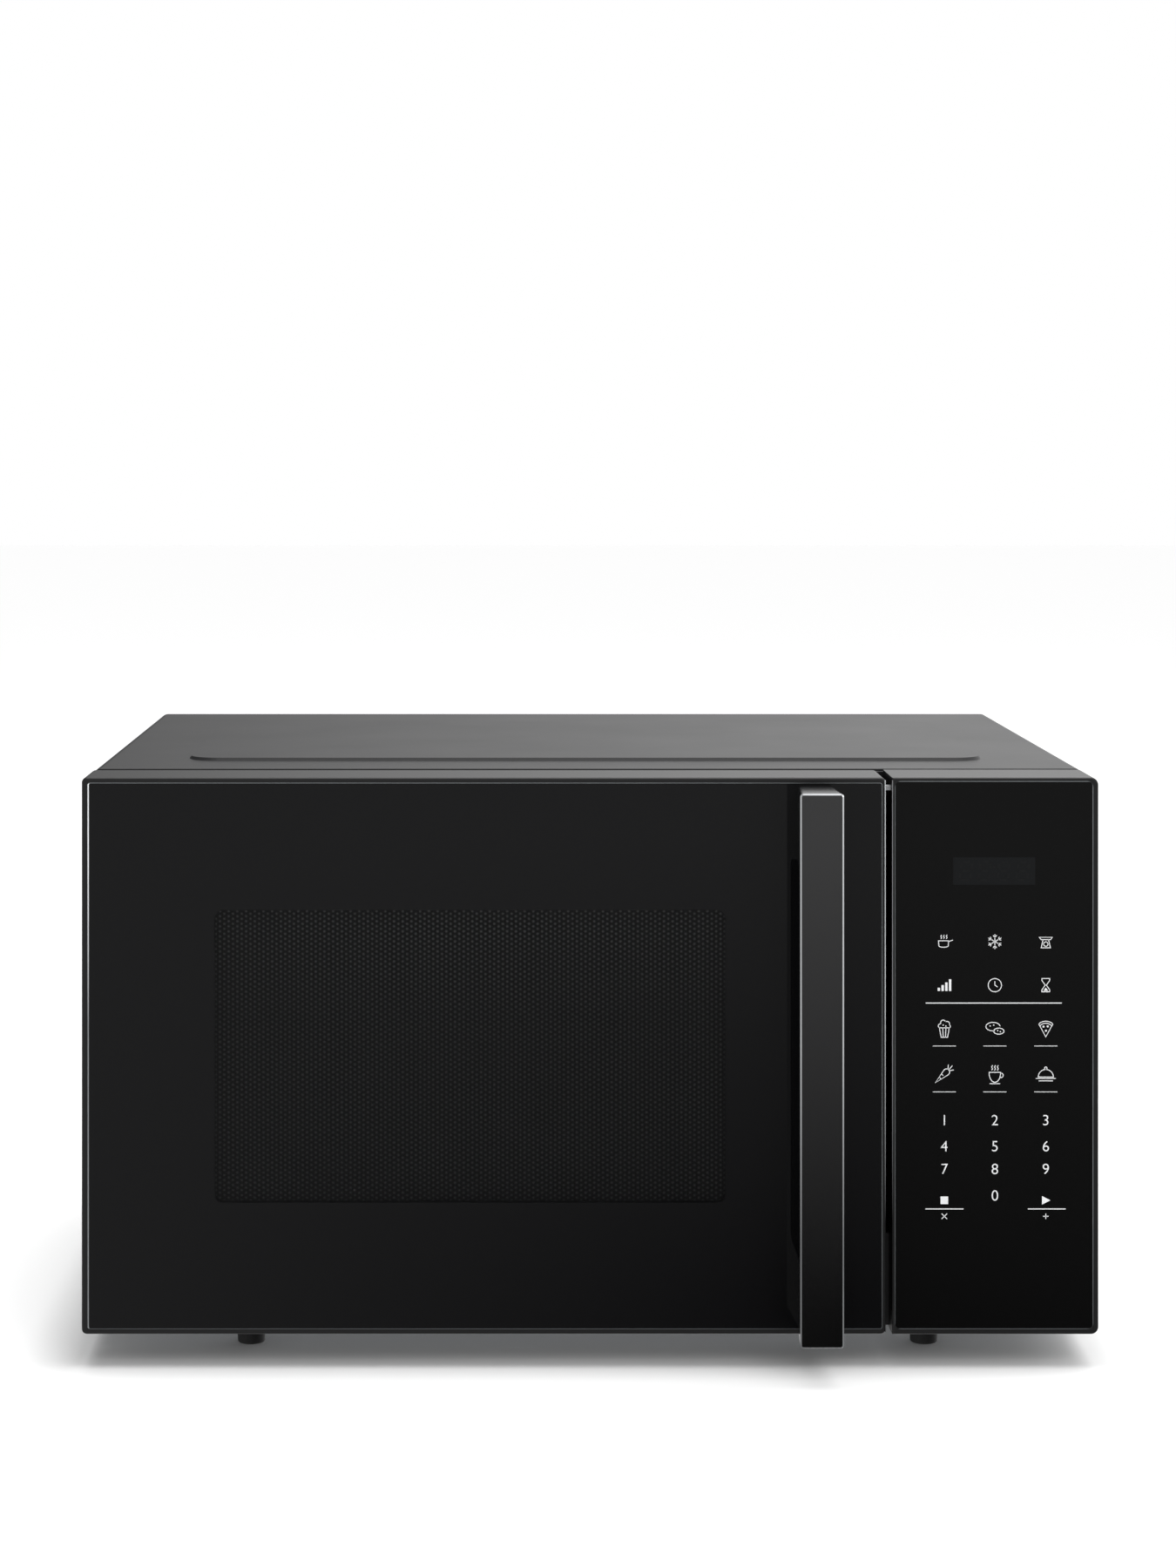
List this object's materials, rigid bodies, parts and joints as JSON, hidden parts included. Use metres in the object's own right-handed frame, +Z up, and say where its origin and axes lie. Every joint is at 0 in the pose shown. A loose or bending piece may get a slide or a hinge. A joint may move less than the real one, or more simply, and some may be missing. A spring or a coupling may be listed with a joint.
{
  "type": "microwave oven",
  "caption": "Countertop microwave oven with a side-hinged dark glass door, full-height bar handle, touch control panel and turntable",
  "frame": {"origin": "on the counter under the middle of the oven's overall box", "axes": "+X to the right seen from the front, -Y towards the user, +Z up"},
  "size_m": [0.484, 0.4, 0.2822],
  "materials": {
    "case_paint": "satin black powder paint",
    "pan_steel": "plain zinc-coated sheet",
    "front_paint": "semi-gloss black paint",
    "cavity_enamel": "light grey epoxy coating",
    "waveguide_steel": "plain sheet",
    "mica": "pressed mica board",
    "yoke_steel": "zinc-plated steel",
    "anode_copper": "copper",
    "fin_aluminium": "bare aluminium",
    "core_steel": "varnished laminations",
    "winding_copper": "enamelled copper wire",
    "capacitor_can": "bare aluminium can",
    "part_plastic_black": "black moulding",
    "part_plastic_white": "natural moulding",
    "fan_plastic": "grey moulding",
    "motor_steel": "plated can",
    "tray_glass": "clear glass",
    "bezel_plastic": "gloss black moulding",
    "door_glass_black": "dark tinted glass",
    "panel_glass_black": "dark tinted glass",
    "clear_film": "clear film",
    "display_dark": "dark display window",
    "board_green": "circuit board",
    "component_mix": "relays and sounder",
    "choke_paint": "black paint",
    "screen_paint": "black painted perforated sheet",
    "handle_plastic": "satin dark grey moulding",
    "screw_steel": "nickel-plated steel",
    "hinge_steel": "plated steel",
    "bush_plastic": "natural acetal",
    "spring_steel": "spring wire",
    "foot_rubber": "black moulded foot",
    "ceramic_fuse": "ceramic tube in clips",
    "lamp_glass": "clear bulb in its housing",
    "bumper_grey": "light grey block"
  },
  "bodies": {
    "oven": {"outer_case": "case_paint", "base_plate": "pan_steel", "back_plate": "pan_steel", "front_plate": "front_paint", "cavity_liner": "cavity_enamel", "motor_access_cover": "pan_steel", "hinge_brackets": "hinge_steel", "front_feet": "foot_rubber", "rear_feet": "foot_rubber", "case_screws": "screw_steel", "cord_gland": "part_plastic_black", "waveguide": "waveguide_steel", "waveguide_cover": "mica", "magnetron_yoke": "yoke_steel", "magnetron_core": "anode_copper", "magnetron_fins": "fin_aluminium", "magnetron_filter_box": "yoke_steel", "transformer_core": "core_steel", "transformer_windings": "winding_copper", "high_voltage_capacitor": "capacitor_can", "capacitor_clamp": "hinge_steel", "high_voltage_diode": "part_plastic_black", "fan_shroud": "fan_plastic", "fan_motor": "core_steel", "air_duct": "fan_plastic", "turntable_motor": "motor_steel", "latch_board": "part_plastic_white", "interlock_switches": "part_plastic_black", "door_bumper": "bumper_grey", "control_panel_bezel": "bezel_plastic", "control_panel_glass": "panel_glass_black", "touch_keypad_film": "clear_film", "display_module": "display_dark", "control_board": "board_green", "board_components": "component_mix", "filter_board": "board_green", "fuse_link": "ceramic_fuse", "oven_lamp": "lamp_glass", "thermal_cutouts": "part_plastic_black"},
    "door": {"door_frame": "bezel_plastic", "door_glass": "door_glass_black", "door_choke_panel": "choke_paint", "door_screen": "screen_paint", "choke_cover": "part_plastic_black", "door_inner_sheet": "clear_film", "door_handle": "handle_plastic", "handle_screws": "screw_steel", "hinge_bushes": "bush_plastic"},
    "latch": {"latch_hooks": "part_plastic_white", "hook_spring": "spring_steel"},
    "coupler": {"turntable_coupler": "part_plastic_white"},
    "tray": {"glass_tray": "tray_glass"},
    "ring": {"roller_ring": "part_plastic_white"},
    "wheel_1": {"roller_wheel_1": "bush_plastic"},
    "wheel_2": {"roller_wheel_2": "bush_plastic"},
    "wheel_3": {"roller_wheel_3": "bush_plastic"},
    "fan": {"fan_blade": "part_plastic_white"},
    "lower_button": {"lower_switch_button": "bumper_grey"},
    "middle_button": {"middle_switch_button": "bumper_grey"},
    "upper_button": {"upper_switch_button": "bumper_grey"}
  },
  "joints": [
    {"name": "door_hinge", "type": "hinge", "parent": "oven", "child": "door", "pos_m": [-0.2325, -0.15, 0.149], "axis": [0, 0, -1], "range_deg": [0, 100]},
    {"name": "latch_slide", "type": "slide", "parent": "door", "child": "latch", "axis": [0, 0, 1], "range_m": [0, 0.004], "stiffness_N_per_m": 300, "springref_m": -0.004, "deforming": ["hook_spring"]},
    {"name": "turntable_spin", "type": "hinge", "parent": "oven", "child": "coupler", "pos_m": [-0.056, 0.03, 0.05], "axis": [0, 0, 1], "continuous": true},
    {"name": "tray_lift", "type": "slide", "parent": "coupler", "child": "tray", "axis": [0, 0, 1], "range_m": [0, 0.02]},
    {"name": "ring_spin", "type": "hinge", "parent": "oven", "child": "ring", "pos_m": [-0.056, 0.03, 0.0553], "axis": [0, 0, 1], "continuous": true},
    {"name": "fan_spin", "type": "hinge", "parent": "oven", "child": "fan", "pos_m": [0.178, 0.17, 0.118], "axis": [0, 1, 0], "continuous": true},
    {"name": "wheel_1_spin", "type": "hinge", "parent": "ring", "child": "wheel_1", "pos_m": [0.0465, 0.03, 0.0553], "axis": [1, 0, 0], "continuous": true},
    {"name": "wheel_2_spin", "type": "hinge", "parent": "ring", "child": "wheel_2", "pos_m": [-0.10725, 0.11877, 0.0553], "axis": [-0.5, 0.866, 0], "continuous": true},
    {"name": "wheel_3_spin", "type": "hinge", "parent": "ring", "child": "wheel_3", "pos_m": [-0.10725, -0.05877, 0.0553], "axis": [-0.5, -0.866, 0], "continuous": true},
    {"name": "lower_button_press", "type": "slide", "parent": "oven", "child": "lower_button", "axis": [0, 1, 0], "range_m": [0, 0.0012], "stiffness_N_per_m": 50, "springref_m": -0.002},
    {"name": "middle_button_press", "type": "slide", "parent": "oven", "child": "middle_button", "axis": [0, 1, 0], "range_m": [0, 0.0012], "stiffness_N_per_m": 50, "springref_m": -0.002},
    {"name": "upper_button_press", "type": "slide", "parent": "oven", "child": "upper_button", "axis": [0, 1, 0], "range_m": [0, 0.0012], "stiffness_N_per_m": 50, "springref_m": -0.002}
  ],
  "couplings": [
    {"joint": "ring_spin", "follows": "turntable_spin", "ratio": 0.5},
    {"joint": "wheel_1_spin", "follows": "turntable_spin", "ratio": -6.4062},
    {"joint": "wheel_2_spin", "follows": "turntable_spin", "ratio": -6.4062},
    {"joint": "wheel_3_spin", "follows": "turntable_spin", "ratio": -6.4062}
  ]
}
